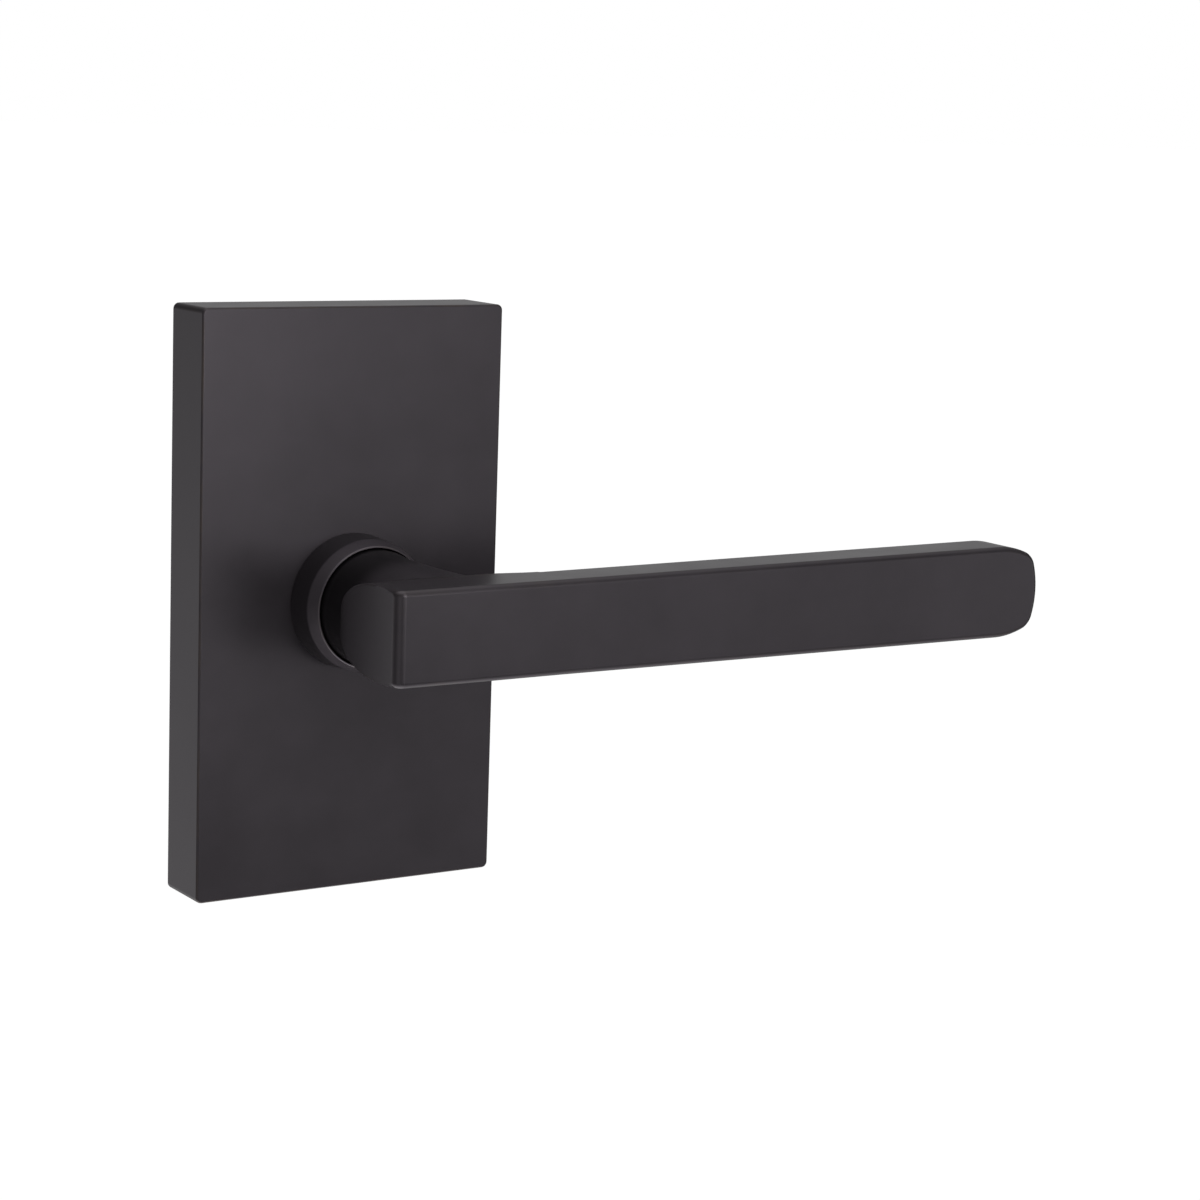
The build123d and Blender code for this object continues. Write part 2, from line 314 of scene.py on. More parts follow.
def mark_edges(obj):
    """Store how sharply the surface turns at each point, for the rubbed edges of the finish.

    A point that a broad face touches counts as flat, so the mark stays on the rounding.
    """
    mesh = bmesh.new()
    mesh.from_mesh(obj.data)
    broad = {f for f in mesh.faces if f.calc_area() > BROAD * max(e.calc_length() for e in f.edges)}
    turns = []
    for vert in mesh.verts:
        sharpest = max((e.calc_face_angle(0.0) for e in vert.link_edges), default=0.0)
        flat = any(f in broad for f in vert.link_faces)
        turns.append(0.0 if flat else min(1.0, max(0.0, (sharpest - RUB_FROM) / RUB_OVER)))
    mesh.free()
    layer = obj.data.attributes.new("edge", "FLOAT", "POINT")
    layer.data.foreach_set("value", turns)


# ---------------------------------------------------------------- materials


def add_node(tree, kind, at=(0, 0), **values):
    """Add a node, and set its own settings and the values of its named sockets."""
    node = tree.nodes.new(kind)
    node.location = at
    for key, value in values.items():
        if hasattr(node, key):
            setattr(node, key, value)
        else:
            node.inputs[key.replace("_", " ")].default_value = value
    return node


def new_group(name, inputs, outputs):
    """An empty shader node group with its named sockets, and its two end nodes."""
    group = bpy.data.node_groups.new(name, "ShaderNodeTree")
    for label, kind, default in inputs:
        socket = group.interface.new_socket(label, in_out="INPUT", socket_type=kind)
        if default is not None:
            socket.default_value = default
    for label, kind in outputs:
        group.interface.new_socket(label, in_out="OUTPUT", socket_type=kind)
    start = add_node(group, "NodeGroupInput", (-900, 0))
    end = add_node(group, "NodeGroupOutput", (600, 0))
    return group, start, end


VALUE, POINT = "NodeSocketFloat", "NodeSocketVector"
# where a Mix node keeps its factor, and its two numbers, colours and colour result
FACTOR, NUMBERS, COLOURS, COLOUR_OUT = 0, (2, 3), (6, 7), 2


def keep_range(node, low, high, side="From"):
    """Set the two ends that a Map Range node reads from, or writes to."""
    node.inputs[side + " Min"].default_value = low
    node.inputs[side + " Max"].default_value = high


def satin_grain():
    """Fine powder grain over a soft orange peel, and a slow mottle for colour and gloss."""
    group, start, end = new_group(
        "satin grain",
        [("Point", POINT, None), ("Grain per metre", VALUE, 2600.0), ("Peel per metre", VALUE, 420.0),
         ("Mottle per metre", VALUE, 38.0), ("Peel share", VALUE, 0.5)],
        [("Height", VALUE), ("Mottle", VALUE)],
    )
    link = group.links.new
    grain = add_node(group, "ShaderNodeTexNoise", (-600, 200), Detail=2.0, Roughness=0.6)
    peel = add_node(group, "ShaderNodeTexNoise", (-600, 0), Detail=1.0, Roughness=0.4)
    mottle = add_node(group, "ShaderNodeTexNoise", (-600, -220), Detail=4.0, Roughness=0.62)
    scales = ((grain, "Grain per metre"), (peel, "Peel per metre"), (mottle, "Mottle per metre"))
    for node, scale in scales:
        link(start.outputs["Point"], node.inputs["Vector"])
        link(start.outputs[scale], node.inputs["Scale"])
    blend = add_node(group, "ShaderNodeMix", (-200, 120), data_type="FLOAT")
    link(start.outputs["Peel share"], blend.inputs[FACTOR])
    link(grain.outputs[0], blend.inputs[NUMBERS[0]])
    link(peel.outputs[0], blend.inputs[NUMBERS[1]])
    link(blend.outputs[0], end.inputs["Height"])
    spread = add_node(group, "ShaderNodeMapRange", (-200, -200), clamp=True)
    keep_range(spread, 0.3, 0.7)
    link(mottle.outputs[0], spread.inputs["Value"])
    link(spread.outputs[0], end.inputs["Mottle"])
    return group


def edge_rub():
    """Where hands and cloths have rubbed the finish along an edge, broken up unevenly."""
    group, start, end = new_group(
        "edge rub",
        [("Point", POINT, None), ("Edge", VALUE, 0.0), ("Patches per metre", VALUE, 120.0),
         ("Amount", VALUE, 0.5)],
        [("Mask", VALUE)],
    )
    link = group.links.new
    patches = add_node(group, "ShaderNodeTexNoise", (-600, -120), Detail=3.0, Roughness=0.65)
    link(start.outputs["Point"], patches.inputs["Vector"])
    link(start.outputs["Patches per metre"], patches.inputs["Scale"])
    spread = add_node(group, "ShaderNodeMapRange", (-380, -120), clamp=True)
    keep_range(spread, 0.38, 0.66)
    link(patches.outputs[0], spread.inputs["Value"])
    both = add_node(group, "ShaderNodeMath", (-140, 0), operation="MULTIPLY")
    link(start.outputs["Edge"], both.inputs[0])
    link(spread.outputs[0], both.inputs[1])
    share = add_node(group, "ShaderNodeMath", (80, 0), operation="MULTIPLY", use_clamp=True)
    link(both.outputs[0], share.inputs[0])
    link(start.outputs["Amount"], share.inputs[1])
    link(share.outputs[0], end.inputs["Mask"])
    return group


def tool_marks():
    """Fine lines left by drawing, rolling or turning, along one direction of the pattern's space."""
    group, start, end = new_group(
        "tool marks",
        [("Point", POINT, None), ("Lines per metre", VALUE, 5000.0), ("Stain per metre", VALUE, 90.0)],
        [("Lines", VALUE), ("Stain", VALUE)],
    )
    link = group.links.new
    lines = add_node(group, "ShaderNodeTexNoise", (-500, 120), Detail=3.0, Roughness=0.7)
    stain = add_node(group, "ShaderNodeTexNoise", (-500, -120), Detail=4.0, Roughness=0.6)
    link(start.outputs["Lines per metre"], lines.inputs["Scale"])
    link(start.outputs["Stain per metre"], stain.inputs["Scale"])
    link(start.outputs["Point"], lines.inputs["Vector"])
    link(start.outputs["Point"], stain.inputs["Vector"])
    spread = add_node(group, "ShaderNodeMapRange", (-200, -120), clamp=True)
    keep_range(spread, 0.35, 0.68)
    link(stain.outputs[0], spread.inputs["Value"])
    link(lines.outputs[0], end.inputs["Lines"])
    link(spread.outputs[0], end.inputs["Stain"])
    return group


def shared(name, build):
    """The group of that name, built the first time that it is asked for."""
    return bpy.data.node_groups.get(name) or build()


def start_material(name, metallic, roughness):
    """A material with its shader, and the point that its patterns read."""
    material = bpy.data.materials.new(name)
    material.use_nodes = True
    tree = material.node_tree
    shader = tree.nodes["Principled BSDF"]
    shader.location = (500, 0)
    tree.nodes["Material Output"].location = (800, 0)
    shader.inputs["Metallic"].default_value = metallic
    shader.inputs["Roughness"].default_value = roughness
    point = add_node(tree, "ShaderNodeTexCoord", (-1100, 0))
    return material, tree, shader, point.outputs["Object"]


def place_group(tree, group, at, **values):
    """Put a node group in a tree, with the values of its named inputs."""
    node = add_node(tree, "ShaderNodeGroup", at, node_tree=group)
    for key, value in values.items():
        node.inputs[key.replace("_", " ")].default_value = value
    return node


def bump(tree, shader, height, strength, depth):
    """Let a height pattern stand out from the surface by a depth in metres."""
    node = add_node(tree, "ShaderNodeBump", (260, -320))
    node.inputs["Strength"].default_value = strength
    node.inputs["Distance"].default_value = depth
    tree.links.new(height, node.inputs["Height"])
    tree.links.new(node.outputs["Normal"], shader.inputs["Normal"])


def mixed(tree, at, mask, first, second):
    """Two colours mixed by a mask. Each may be a colour or a socket."""
    node = add_node(tree, "ShaderNodeMix", at, data_type="RGBA")
    tree.links.new(mask, node.inputs[FACTOR])
    for index, given in zip(COLOURS, (first, second)):
        if isinstance(given, bpy.types.NodeSocket):
            tree.links.new(given, node.inputs[index])
        else:
            node.inputs[index].default_value = (*given, 1.0)
    return node.outputs[COLOUR_OUT]


def spread_roughness(tree, shader, mask, low, high):
    """Let the gloss follow a mask between two roughnesses."""
    node = add_node(tree, "ShaderNodeMapRange", (220, -120), clamp=True)
    keep_range(node, low, high, "To")
    tree.links.new(mask, node.inputs["Value"])
    tree.links.new(node.outputs[0], shader.inputs["Roughness"])


def lacquered(name, tone, rub, peel, painted_shade=None):
    """Satin charcoal lacquer: fine grain, slow changes of tone, and warmer rubbed edges.

    The last argument, if given, paints shade: two distances out from the door, nearer than the
    first of which the lacquer is darkened as painted shade, easing to full tone by the second,
    and how much of the tone the painted shade keeps.
    """
    colours = bpy.context.scene.door_lever_finish
    material, tree, shader, point = start_material(name, 0.6, 0.36)
    grain = place_group(tree, shared("satin grain", satin_grain), (-700, 0), Peel_share=peel)
    tree.links.new(point, grain.inputs["Point"])
    base = [c * tone for c in colours.lacquer]
    light = [c * 1.16 for c in base]
    warm = [c * tone for c in colours.lacquer_warm]
    colour_out = mixed(tree, (-300, 200), grain.outputs["Mottle"], base, light)
    edge = add_node(tree, "ShaderNodeAttribute", (-1100, -300), attribute_name="edge")
    rubbed = place_group(tree, shared("edge rub", edge_rub), (-700, -300), Amount=rub)
    tree.links.new(point, rubbed.inputs["Point"])
    tree.links.new(edge.outputs["Fac"], rubbed.inputs["Edge"])
    colour_out = mixed(tree, (-60, 200), rubbed.outputs["Mask"], colour_out, warm)
    # painted shade: the lacquer is darkened nearer the door, where the neck and the collar's side lie in
    # shade
    if painted_shade:
        near_end, far_end, share = painted_shade
        apart = add_node(tree, "ShaderNodeSeparateXYZ", (-900, -560))
        tree.links.new(point, apart.inputs[0])
        shade_ramp = add_node(tree, "ShaderNodeMapRange", (-700, -560), clamp=True, interpolation_type="SMOOTHSTEP")
        keep_range(shade_ramp, -far_end, -near_end)
        tree.links.new(apart.outputs["Y"], shade_ramp.inputs["Value"])
        colour_out = mixed(tree, (140, 200), shade_ramp.outputs[0], colour_out, [c * share for c in base])
    tree.links.new(colour_out, shader.inputs["Base Color"])
    spread_roughness(tree, shader, grain.outputs["Mottle"], 0.30, 0.37)
    bump(tree, shader, grain.outputs["Height"], 0.16, 0.00004)
    return material


def plated(name, main, tint, roughness, stretch, metallic=1.0, strength=0.2, lines=5000.0):
    """Metal that shows its tool marks and an uneven tint. Stretch says which way the marks run."""
    material, tree, shader, point = start_material(name, metallic, roughness)
    turn = add_node(tree, "ShaderNodeMapping", (-900, 0))
    turn.inputs["Scale"].default_value = stretch
    marks = place_group(tree, shared("tool marks", tool_marks), (-680, 0), Lines_per_metre=lines)
    tree.links.new(point, turn.inputs["Vector"])
    tree.links.new(turn.outputs[0], marks.inputs["Point"])
    tree.links.new(mixed(tree, (-200, 200), marks.outputs["Stain"], main, tint), shader.inputs["Base Color"])
    spread_roughness(tree, shader, marks.outputs["Stain"], roughness - 0.05, roughness + 0.07)
    bump(tree, shader, marks.outputs["Lines"], strength, 0.00003)
    return material


def finish_for(slot):
    """The material for one of the part's finishes, made the first time that it is asked for."""
    name = slot + " finish"
    if name in bpy.data.materials:
        return bpy.data.materials[name]
    c = bpy.context.scene.door_lever_finish
    darker = lambda given, share: [x * share for x in given]
    make = {
        # painted shade on the lever's neck: 0.28 of the tone nearer the door than 33 mm, full tone from 40.2
        # mm out
        "black_casting": lambda: lacquered(name, 1.0, 0.45, 0.6, (0.0330, 0.0402, 0.28)),
        "black_plate": lambda: lacquered(name, 1.0, 0.7, 0.45),
        # collar: lacquer at 1.7 times tone is a painted highlight on its bevelled lip; painted shade brings
        # its side, nearer the door than 21.1 mm, down to 0.45 of that
        "black_ring": lambda: lacquered(name, 1.7, 0.3, 0.35, (0.0211, 0.0217, 0.45)),
        "zinc_steel": lambda: plated(name, c.zinc, c.zinc_tint, 0.33, (1, 1, 0.06)),
        "bright_steel": lambda: plated(name, c.steel, darker(c.steel, 0.8), 0.28, (1, 0.03, 1)),
        "spring_steel": lambda: plated(name, c.spring, darker(c.spring, 0.7), 0.3, (1, 1, 1)),
        "black_oxide": lambda: plated(name, c.oxide, darker(c.oxide, 1.6), 0.42, (1, 0.2, 1)),
        "die_cast": lambda: plated(
            name, c.casting, darker(c.casting, 0.78), 0.46, (1, 1, 1), strength=0.35, lines=2400.0
        ),
        "nylon": lambda: plated(
            name, c.nylon, darker(c.nylon, 0.9), 0.5, (1, 1, 1), metallic=0.0, strength=0.1, lines=1800.0
        ),
    }
    return make[slot]()


# ---------------------------------------------------------------- the pieces


class DOORLEVER_OT_cover(bpy.types.Operator):
    """Model the rosette's cover: a square-edged cap with a hollow back, a hook and a screw boss"""

    bl_idname = "door_lever.cover"
    bl_label = "Rosette cover"

    def execute(self, context):
        s = context.scene.door_lever_rosette
        low, high = COVER_LOW, COVER_HIGH
        obj = add_block("cover", low, high)
        edit(obj)
        pick(obj, "EDGE", lambda e: near(abs(middle(e).x), high.x) and near(abs(middle(e).z), high.z))
        bpy.ops.mesh.bevel(offset=s.corner, segments=5, affect="EDGES")
        pick(obj, "EDGE", lambda e: all(near(v.co.y, low.y) for v in e.verts))
        bpy.ops.mesh.bevel(offset=s.edge, segments=4, affect="EDGES")
        done()
        inner = Vector((high.x - s.wall, 0, high.z - s.wall))
        pocket = add_block("pocket", (-inner.x, low.y + s.face, -inner.z), (inner.x, 0.001, inner.z))
        edit(pocket)
        bpy.ops.mesh.select_all(action="SELECT")
        bpy.ops.mesh.bevel(offset=0.0008, segments=3, affect="EDGES")
        done()
        carve(obj, pocket)
        past = 0.001
        carve(obj, add_rod("hole", s.hole, (0, low.y - past, 0), (0, low.y + s.face + past, 0), 128))
        sunk = 0.0002  # how far the hook and the boss go into the wall that they stand on
        hook = add_block(
            "hook", (-0.004, -s.hook_out - 0.001, 0.0528), (0.004, -s.hook_out + 0.001, inner.z + sunk)
        )
        soften(hook, 0.0003)
        carve(obj, hook, "UNION")
        boss = add_block(
            "boss", (-0.005, -s.hook_out - 0.0036, -inner.z - sunk), (0.005, -s.hook_out + 0.0036, -0.0575)
        )
        soften(boss, 0.0005)
        carve(obj, boss, "UNION")
        carve(obj, add_rod("tapping", s.screw, (0, -s.hook_out, -0.07), (0, -s.hook_out, -0.05), 32))
        mark_edges(obj)
        shade(obj)
        fit(obj, "rosette", "black_plate", finish_for("black_plate"), "rosette_cover")
        return {"FINISHED"}


class DOORLEVER_OT_collar(bpy.types.Operator):
    """Turn the collar that the neck runs in, with its bevelled lip"""

    bl_idname = "door_lever.collar"
    bl_label = "Collar"

    def execute(self, context):
        s = context.scene.door_lever_collar
        start, lip = -COLLAR_HIGH.y, -COLLAR_LOW.y
        outline = [
            (s.bush, start), (s.spigot, start), (s.spigot, ROSETTE_FACE), (s.foot, ROSETTE_FACE),
            (s.shoulder, s.shoulder_out), (s.lip, lip), (s.bore, lip), (s.bore, s.seat_out),
            (s.bush, s.seat_out),
        ]
        obj = turned("collar", outline + outline[:1])
        edit(obj)
        level = lambda e: near(e.verts[0].co.y, e.verts[1].co.y)
        pick(obj, "EDGE", lambda e: e.calc_face_angle(0.0) > radians(12) and level(e))
        bpy.ops.mesh.bevel(offset=s.rounding * 0.9, segments=3, affect="EDGES")
        done()
        mark_edges(obj)
        shade(obj)
        fit(obj, "rosette", "black_ring", finish_for("black_ring"), "rosette_collar")
        return {"FINISHED"}


class DOORLEVER_OT_handle(bpy.types.Operator):
    """Model the lever: a bar that eases in at its tip, a domed head, and the neck that it turns on"""

    bl_idname = "door_lever.handle"
    bl_label = "Handle"

    def tip_outline(self, s, right):
        """Places along the bar and half heights where the tip eases in, on a shallow arc."""
        ease, corner, wide = right - s.tip_ease, right - s.tip_sag, s.tip_height / 2
        steps = 9
        for k in range(1, steps + 1):
            t = k / steps
            yield ease + t * (corner - ease), wide - s.tip_drop * (0.08 * t + 0.92 * t * t)

    def bar(self, s, left, right, front):
        """The bar's outline as a flat face, then its thickness."""
        head_end, half = s.head_right + s.sweep, s.height / 2
        bpy.ops.object.select_all(action="DESELECT")
        bpy.ops.mesh.primitive_plane_add(
            size=1, location=((left + head_end) / 2, front, 0), rotation=(pi / 2, 0, 0)
        )
        obj = name_new("handle", (head_end - left, s.height, 1))
        edit(obj)
        pick(obj, "EDGE", lambda e: near(middle(e).x, head_end))
        x, h = head_end, half
        for to_x, to_h in [(right - s.tip_ease, s.tip_height / 2), *self.tip_outline(s, right)]:
            bpy.ops.mesh.extrude_region_move(TRANSFORM_OT_translate={"value": (to_x - x, 0, 0)})
            bpy.ops.transform.resize(value=(1, 1, to_h / h), center_override=(to_x, front, 0))
            x, h = to_x, to_h
        bpy.ops.mesh.subdivide(number_cuts=15)
        for k in range(8):
            z = h * k / 8
            pick(obj, "VERT", lambda v: near(v.co.x, x) and near(abs(v.co.z), z))
            bpy.ops.transform.translate(value=(s.tip_sag * (1 - (z / h) ** 2), 0, 0))
        bpy.ops.mesh.select_all(action="SELECT")
        bpy.ops.mesh.dissolve_faces()
        reach = s.tip_corner * 0.52  # how far along the outline that radius goes at this corner
        pick(obj, "VERT", lambda v: 1e-5 < hypot(v.co.x - x, abs(v.co.z) - h) < reach * 1.05)
        bpy.ops.mesh.dissolve_verts()
        pick(obj, "VERT", lambda v: near(v.co.x, x) and near(abs(v.co.z), h))
        bpy.ops.mesh.bevel(offset=reach, segments=7, affect="VERTICES")
        bpy.ops.mesh.select_all(action="SELECT")
        bpy.ops.mesh.extrude_region_move(TRANSFORM_OT_translate={"value": (0, s.thickness, 0)})
        bpy.ops.mesh.select_all(action="SELECT")
        bpy.ops.mesh.normals_make_consistent(inside=False)
        bpy.ops.mesh.bisect(plane_co=(head_end, 0, 0), plane_no=(1, 0, 0))
        done()
        return obj

    def head(self, obj, s, left, front):
        """Draw the back of the head out, with well rounded corners and a flat back."""
        back, head_back = front + s.thickness, front + s.head_depth
        edit(obj)
        pick(obj, "VERT", lambda v: near(v.co.x, left) and near(v.co.y, back))
        bpy.ops.transform.translate(value=(0, s.head_side - s.thickness, 0))
        pick(obj, "FACE", lambda f: f.normal.y > 0.9 and f.calc_center_median().x < s.head_right + s.sweep)
        steps, flat = 16, s.head_flat / 2
        heights = [flat + (s.height / 2 - flat) * cos(pi / 2 * k / steps) for k in range(steps + 1)]
        depths = [1 - sin(pi / 2 * k / steps) for k in range(steps + 1)]
        for k in range(steps):
            bpy.ops.mesh.extrude_region_move(TRANSFORM_OT_translate={"value": (0, 0, 0)})
            bpy.ops.transform.resize(
                value=(1, max(0, depths[k + 1] / depths[k]), heights[k + 1] / heights[k]),
                center_override=(0, head_back, 0),
            )
        bpy.ops.mesh.select_all(action="SELECT")
        bpy.ops.mesh.remove_doubles(threshold=1e-6)
        bpy.ops.mesh.normals_make_consistent(inside=False)
        pick(obj, "FACE", lambda f: f.normal.x < -0.999 and near(f.calc_center_median().x, left))
        bpy.ops.mesh.dissolve_faces()
        done()

    def round_edges(self, obj, s, left, front):
        """Round the bar's edges: softest at the head, then along the front, then the rest."""
        head_end = s.head_right + s.sweep

        def facing(edge, first, second):
            a, b = (f.normal for f in edge.link_faces)
            return (first(a) and second(b)) or (first(b) and second(a))

        edit(obj)
        pick(obj, "EDGE", lambda e: all(near(v.co.x, left) and near(v.co.y, front) for v in e.verts))
        bpy.ops.mesh.bevel(offset=s.end_edge, segments=7, affect="EDGES")
        pick(
            obj,
            "EDGE",
            lambda e: facing(e, lambda n: n.y < -0.999, lambda n: abs(n.y) < 0.2)
            or (
                middle(e).x < left + s.end_edge
                and middle(e).y < front + s.end_edge
                and facing(e, lambda n: abs(n.z) > 0.9, lambda n: abs(n.z) < 0.1)
            ),
        )
        bpy.ops.mesh.bevel(offset=s.edge, segments=6, affect="EDGES")
        pick(
            obj,
            "EDGE",
            lambda e: (
                middle(e).x > head_end + 1e-4
                and facing(e, lambda n: n.y > 0.99, lambda n: abs(n.y) < 0.2)
            )
            or facing(e, lambda n: n.x < -0.999, lambda n: abs(n.x) < 0.2),
        )
        bpy.ops.mesh.bevel(offset=s.back_edge, segments=3, affect="EDGES")
        done()

    def neck_sections(self, s):
        """The neck runs straight through the collar, narrows, and spreads into the head.

        Each station is (out from the door, shift along the lever, half width, half height). A
        smooth curve passes through the three of them.
        """
        straight = -COLLAR_LOW.y + 0.001
        yield s.neck, s.neck_back, s.neck, 0.0
        yield s.neck, straight, s.neck, 0.0
        stations = (
            (straight, 0.0, s.neck, s.neck),
            (0.0365, 0.0004, 0.0128, 0.0118),
            (0.0485, 0.005, 0.0189, 0.01),
        )
        steps = 14
        for k in range(1, steps + 1):
            out = straight + (stations[2][0] - straight) * k / steps
            shares = []
            for i, one in enumerate(stations):
                share = 1.0
                for j, other in enumerate(stations):
                    if i != j:
                        share *= (out - other[0]) / (one[0] - other[0])
                shares.append(share)
            shift, wide, high = (
                sum(weight * station[n] for weight, station in zip(shares, stations)) for n in (1, 2, 3)
            )
            yield wide, out, high, shift
        yield 0.0189, 0.0505, 0.01, 0.005

    def execute(self, context):
        s = context.scene.door_lever_handle
        left, right, front = LEVER_LOW.x, LEVER_HIGH.x, LEVER_LOW.y
        obj = self.bar(s, left, right, front)
        self.head(obj, s, left, front)
        self.round_edges(obj, s, left, front)
        bpy.ops.object.select_all(action="DESELECT")
        head_back = front + s.head_depth
        bpy.ops.mesh.primitive_cylinder_add(
            vertices=128, radius=1, depth=0.05, location=(s.head_right + s.sweep, head_back, 0)
        )
        carve(obj, name_new("sweep", (s.sweep, s.head_depth - s.thickness + 0.00003, 1)))
        carve(obj, turned("neck", self.neck_sections(s), sides=96, closed=False), "UNION")
        carve(obj, add_rod("tube bore", s.tube, (0, -0.001, 0), (0, -s.tube_front, 0), 96))
        carve(obj, add_rod("tapping", s.screw, (0, -s.screw_out, -0.03), (0, -s.screw_out, 0), 32))
        mark_edges(obj)
        shade(obj, 28)
        fit(obj, "lever", "black_casting", finish_for("black_casting"), "lever_handle")
        return {"FINISHED"}


class DOORLEVER_OT_bolts(bpy.types.Operator):
    """Model one through bolt with its cross recess and its thread, and copy it for the other side"""

    bl_idname = "door_lever.bolts"
    bl_label = "Through bolts"

    def execute(self, context):
        s = context.scene.door_lever_bolts
        end = BOLTS_END
        core = s.radius - 0.6 * s.pitch
        cap = s.plate + s.head_height
        outline = [
            (0.0004, -end), (core - 0.0003, -end), (core, -end + 0.0004), (core, 0.0), (s.shank, 0.0),
            (s.shank, s.plate), (s.head, s.plate), (s.head, cap - 0.001), (s.head * 0.93, cap - 0.0004),
            (s.head * 0.76, cap), (0.0004, cap),
        ]
        obj = turned("bolt", outline, sides=48, closed=False)
        for turn in (0, pi / 2):
            bpy.ops.object.select_all(action="DESELECT")
            bpy.ops.mesh.primitive_cube_add(size=1, location=(0, -cap, 0), rotation=(0, turn, 0))
            carve(obj, name_new("slot", (0.001, 0.0036, 0.0048)))
        thread = self.thread(s, core, end)
        only(thread)
        obj.select_set(True)
        bpy.context.view_layer.objects.active = obj
        bpy.ops.object.join()
        edit(obj)
        bpy.ops.mesh.select_all(action="SELECT")
        bpy.ops.transform.translate(value=(-s.spacing / 2, 0, 0))
        done()
        mark_edges(obj)
        shade(obj)
        obj.name = obj.data.name = "bolt_left"
        only(obj)
        bpy.ops.object.duplicate()
        other = bpy.context.object
        other.name = other.data.name = "bolt_right"
        edit(other)
        bpy.ops.mesh.select_all(action="SELECT")
        bpy.ops.transform.translate(value=(s.spacing, 0, 0))
        done()
        for piece in (obj, other):
            fit(piece, "rosette", "zinc_steel", finish_for("zinc_steel"), "through_bolts")
        return {"FINISHED"}

    def thread(self, s, core, end):
        """A ridge wound along the shank, from its end almost to the plate."""
        bpy.ops.object.select_all(action="DESELECT")
        bpy.ops.mesh.primitive_circle_add(
            vertices=3,
            radius=s.pitch * 0.52,
            fill_type="NGON",
            location=(core, end - 0.0009, 0),
            rotation=(0, 0, -pi / 2),
        )
        obj = name_new("thread")
        edit(obj)
        pick(obj, "VERT", lambda v: v.co.x > core + s.pitch * 0.2)
        for vert in bmesh.from_edit_mesh(obj.data).verts:
            if vert.select:
                bpy.ops.transform.translate(value=(s.radius - vert.co.x, 0, 0))
                break
        done()
        turns = int((end - 0.0024) / s.pitch)
        only(obj)
        work = obj.modifiers.new("Winding", "SCREW")
        work.axis, work.steps, work.render_steps = "Y", 18, 18
        work.iterations, work.screw_offset, work.angle = turns, -s.pitch, 2 * pi
        work.use_merge_vertices = False
        bpy.ops.object.modifier_apply(modifier=work.name)
        edit(obj)
        bpy.ops.mesh.select_all(action="SELECT")
        bpy.ops.mesh.remove_doubles(threshold=1e-7)
        bpy.ops.mesh.fill_holes(sides=0)
        bpy.ops.mesh.select_all(action="SELECT")
        bpy.ops.mesh.normals_make_consistent(inside=False)
        done()
        return obj


class DOORLEVER_OT_spindle(bpy.types.Operator):
    """Model the square spindle, with its corners and its ends broken"""

    bl_idname = "door_lever.spindle"
    bl_label = "Spindle"

    def execute(self, context):
        low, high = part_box("spindle")
        obj = add_block("spindle_bar", low, high)
        edit(obj)
        pick(obj, "EDGE", lambda e: not near(e.verts[0].co.y, e.verts[1].co.y))
        bpy.ops.mesh.bevel(offset=0.0005, segments=3, affect="EDGES")
        for end in (low.y, high.y):
            pick(obj, "EDGE", lambda e: all(near(v.co.y, end) for v in e.verts))
            bpy.ops.mesh.bevel(offset=0.0004, segments=2, affect="EDGES")
        done()
        mark_edges(obj)
        shade(obj)
        fit(obj, "lever", "bright_steel", finish_for("bright_steel"), "spindle")
        return {"FINISHED"}


FITTINGS = {
    "zinc_steel": ("collar_nut", "mounting_plate", "housing_lid", "housing_rivets"),
    "bright_steel": ("lever_tube", "retaining_ring"),
    "spring_steel": ("return_spring", "shim_washer"),
    "black_oxide": ("cover_screw", "lever_screw"),
    "die_cast": ("spring_housing", "drive_cam"),
    "nylon": ("collar_bush", "thrust_washer"),
}


class DOORLEVER_OT_fittings(bpy.types.Operator):
    """Give the plate, housing, spring, bushes and screws their finishes"""

    bl_idname = "door_lever.fittings"
    bl_label = "Inner fittings"

    def execute(self, context):
        for slot, names in FITTINGS.items():
            for name in names:
                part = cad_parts[name]
                part.data.materials.clear()
                part.data.materials.append(finish_for(slot))
        return {"FINISHED"}


# ---------------------------------------------------------------- stage

# how bright the studio is in a direction: (direction, brightness, tightness)
SOFT_LIGHTS = (
    ((0.31, -0.95, 0.04), 3.05, 80),
    ((0.79, -0.61, -0.09), 1.25, 30),
    ((0.00, 0.00, -1.00), 2.40, 4),
    ((0.57, 0.81, 0.14), 0.62, 14),
    ((-0.56, 0.80, -0.21), 0.45, 16),
    ((-0.41, 0.58, -0.71), 1.20, 8),
    ((0.00, 0.00, 1.00), 1.40, 4),
    ((-0.76, -0.64, -0.09), 0.50, 12),
)
BASE_LIGHT = 0.06
# softboxes: (name, place, the point it faces, side, watts)
SOFTBOXES = (
    ("front_softbox", (0.02, -0.50, 0.10), (-0.02, 0, 0.03), 0.26, 0.40),
    ("top_softbox", (0.06, -0.42, 0.28), (-0.02, 0, 0.03), 0.26, 0.16),
)


